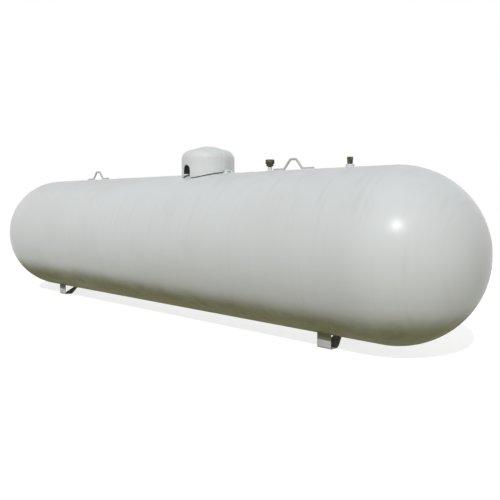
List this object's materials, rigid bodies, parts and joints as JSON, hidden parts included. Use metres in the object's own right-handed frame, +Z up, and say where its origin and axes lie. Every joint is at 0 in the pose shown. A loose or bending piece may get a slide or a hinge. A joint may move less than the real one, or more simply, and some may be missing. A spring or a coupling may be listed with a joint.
{
  "type": "horizontal pressure tank",
  "caption": "Long round pressure tank with ball-shaped ends on short bent legs, lifting loops and a hinged hood over its valves.",
  "frame": {"origin": "on the floor under the middle of the tank", "axes": "+X along the tank toward the end with the outer fittings, +Z up, -Y toward the front where the hood has its notch"},
  "size_m": [4.8764, 1.041, 1.2982],
  "materials": {
    "tank_paint": "gloss off-white paint",
    "hood_paint": "gloss off-white paint",
    "pin_steel": "plain steel",
    "aged_brass": "dull aged brass",
    "gauge_alloy": "cast, dull",
    "dark_plastic": "moulded",
    "red_plastic": "moulded",
    "dial_plastic": "clear lens over a plain pale dial"
  },
  "bodies": {
    "tank": {"shell": "tank_paint", "left_head": "tank_paint", "right_head": "tank_paint", "front_left_leg": "tank_paint", "front_right_leg": "tank_paint", "back_left_leg": "tank_paint", "back_right_leg": "tank_paint", "left_lifting_lug": "tank_paint", "right_lifting_lug": "tank_paint", "tank_padlock_eye": "tank_paint", "hinge_bracket": "tank_paint", "service_coupling": "tank_paint", "fill_coupling": "tank_paint", "gauge_coupling": "tank_paint", "relief_coupling": "tank_paint", "vapour_coupling": "tank_paint", "liquid_coupling": "tank_paint", "drain_coupling": "tank_paint", "hinge_pin": "pin_steel", "service_valve": "aged_brass", "fill_valve": "aged_brass", "relief_valve": "aged_brass", "vapour_valve": "aged_brass", "liquid_valve": "aged_brass", "drain_plug": "aged_brass", "liquid_cap": "aged_brass", "gauge_body": "gauge_alloy", "fill_cap": "dark_plastic", "vapour_cap": "dark_plastic", "service_outlet_plug": "dark_plastic", "service_handwheel": "red_plastic", "relief_cap": "red_plastic", "gauge_dial": "dial_plastic"},
    "hood": {"hood": "hood_paint", "hood_hinge_leaf": "hood_paint", "hood_padlock_eye": "hood_paint"}
  },
  "joints": [
    {"name": "hood_hinge", "type": "hinge", "parent": "tank", "child": "hood", "pos_m": [0.5035, 0, 1.1084], "axis": [0, 1, 0], "range_deg": [0, 100]}
  ]
}
